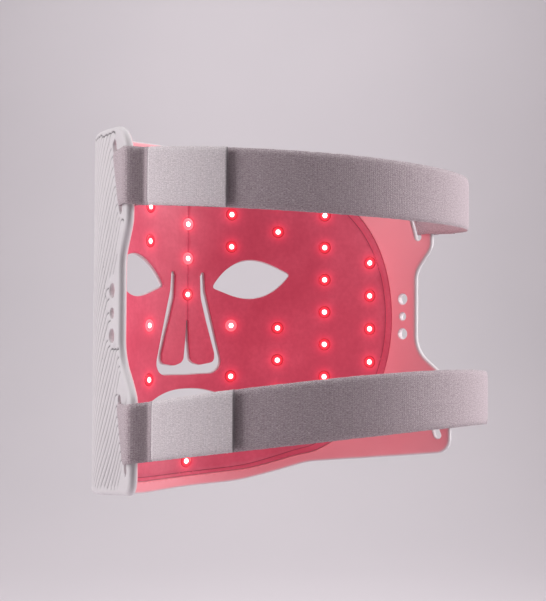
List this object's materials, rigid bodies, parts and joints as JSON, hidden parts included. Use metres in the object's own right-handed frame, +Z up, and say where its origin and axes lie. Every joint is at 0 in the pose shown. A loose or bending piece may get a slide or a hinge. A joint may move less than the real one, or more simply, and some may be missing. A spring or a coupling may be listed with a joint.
{
  "type": "led face mask",
  "caption": "Flexible silicone face mask with a red-lit inner pad, a ribbed outer shell, eye, nose and mouth openings, and elastic head straps with hook tabs.",
  "frame": {"origin": "the nose bridge, on the middle line of the inner face, where the mask meets the wearer", "axes": "+Z up, +X towards the wearer's left, +Y from the mask towards the wearer; the ribbed front faces -Y"},
  "size_m": [0.2124, 0.2034, 0.2036],
  "materials": {
    "silicone_shell": "soft satin white silicone",
    "lit_pad": "translucent silicone lit red from within",
    "flex_circuit": "amber polyimide film",
    "diode": "lit red diode",
    "window": "clear round window",
    "ringed_window": "paler ringed window",
    "strap_webbing": "marled light grey elastic webbing",
    "hook_patch": "hook tape",
    "stitch_thread": "grey thread",
    "port_moulding": "white moulding",
    "port_shell": "nickel plated steel",
    "port_contact": "gold plated"
  },
  "bodies": {
    "mask": {"shell_face": "silicone_shell", "pad_face": "lit_pad", "circuit_face": "flex_circuit", "leds_centre": "diode", "leds_left_column_1": "diode", "leds_left_column_2": "diode", "leds_left_column_3": "diode", "leds_right_column_1": "diode", "leds_right_column_2": "diode", "leds_right_column_3": "diode", "windows_face": "window", "windows_ringed": "ringed_window", "upper_strap_back": "strap_webbing", "lower_strap_back": "strap_webbing", "port_housing": "port_moulding", "port_socket": "port_shell", "port_contacts": "port_contact"},
    "left_wing": {"shell_left_wing": "silicone_shell", "pad_left_wing": "lit_pad", "circuit_left_wing": "flex_circuit", "leds_left_column_4": "diode", "windows_left_wing": "window", "upper_strap_left": "strap_webbing", "lower_strap_left": "strap_webbing"},
    "right_wing": {"shell_right_wing": "silicone_shell", "pad_right_wing": "lit_pad", "circuit_right_wing": "flex_circuit", "leds_right_column_4": "diode", "windows_right_wing": "window", "upper_strap_right": "strap_webbing", "lower_strap_right": "strap_webbing", "upper_stitches": "stitch_thread", "lower_stitches": "stitch_thread"},
    "upper_tab": {"upper_tab": "strap_webbing", "upper_hook_patch": "hook_patch"},
    "lower_tab": {"lower_tab": "strap_webbing", "lower_hook_patch": "hook_patch"},
    "nose_tongue": {"tongue_shell": "silicone_shell", "tongue_pad": "lit_pad", "tongue_circuit": "flex_circuit", "led_nose": "diode", "window_nose": "window"},
    "left_lobe": {"lobe_shell_left": "silicone_shell", "lobe_pad_left": "lit_pad"},
    "right_lobe": {"lobe_shell_right": "silicone_shell", "lobe_pad_right": "lit_pad"}
  },
  "joints": [
    {"name": "left_wing_flex", "type": "hinge", "parent": "mask", "child": "left_wing", "pos_m": [0.08671, 0.0489, 0], "axis": [0, 0, -1], "range_deg": [0, 10], "stiffness_Nm_per_rad": 0.35},
    {"name": "right_wing_flex", "type": "hinge", "parent": "mask", "child": "right_wing", "pos_m": [-0.08671, 0.0489, 0], "axis": [0, 0, 1], "range_deg": [0, 10], "stiffness_Nm_per_rad": 0.35},
    {"name": "upper_tab_peel", "type": "hinge", "parent": "left_wing", "child": "upper_tab", "pos_m": [0.09525, 0.11465, 0.0372], "axis": [0, 0, -1], "range_deg": [0, 80]},
    {"name": "lower_tab_peel", "type": "hinge", "parent": "left_wing", "child": "lower_tab", "pos_m": [0.0983, 0.12511, -0.0743], "axis": [0, 0, -1], "range_deg": [0, 80]},
    {"name": "nose_tongue_bend", "type": "hinge", "parent": "mask", "child": "nose_tongue", "pos_m": [0, -0.0046, 0.00143], "axis": [-1, 0, 0], "range_deg": [0, 25], "stiffness_Nm_per_rad": 0.02},
    {"name": "left_lobe_bend", "type": "hinge", "parent": "nose_tongue", "child": "left_lobe", "pos_m": [0, -0.0046, -0.02618], "axis": [-1, 0, 0], "range_deg": [0, 30], "stiffness_Nm_per_rad": 0.01},
    {"name": "right_lobe_bend", "type": "hinge", "parent": "nose_tongue", "child": "right_lobe", "pos_m": [0, -0.0046, -0.02618], "axis": [-1, 0, 0], "range_deg": [0, 30], "stiffness_Nm_per_rad": 0.01}
  ]
}
